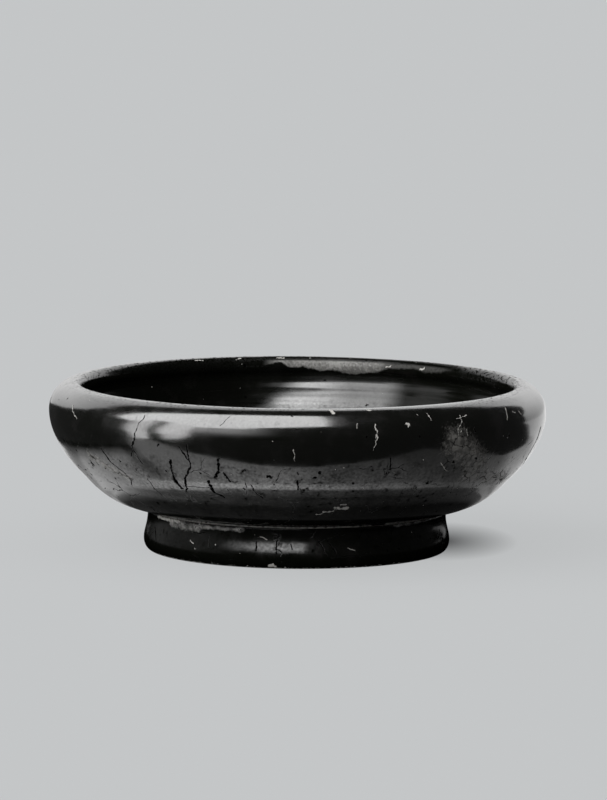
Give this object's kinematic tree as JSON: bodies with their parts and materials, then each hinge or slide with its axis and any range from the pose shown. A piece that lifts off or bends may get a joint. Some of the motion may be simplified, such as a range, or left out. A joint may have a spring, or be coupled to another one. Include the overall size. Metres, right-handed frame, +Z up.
{
  "type": "bowl",
  "caption": "Small shallow bowl with a rounded, incurved rim on a broad ring foot, black gloss over pale clay, for serving food at table.",
  "frame": {"origin": "centre of the ring that the bowl stands on, at table level", "axes": "+Z up along the axis that the bowl was thrown about, +X to the right and -Y to the front as pictured"},
  "size_m": [0.11, 0.11, 0.0371],
  "materials": {
    "clay": "bare fired clay, matt",
    "slip": "bare fired slip, matt",
    "gloss": "black, glossy"
  },
  "bodies": {
    "root": {"bowl_body": "clay", "foot_ring": "clay", "luting_slip": "slip", "wall_gloss": "gloss", "foot_gloss": "gloss", "underside_gloss": "gloss"}
  },
  "joints": []
}
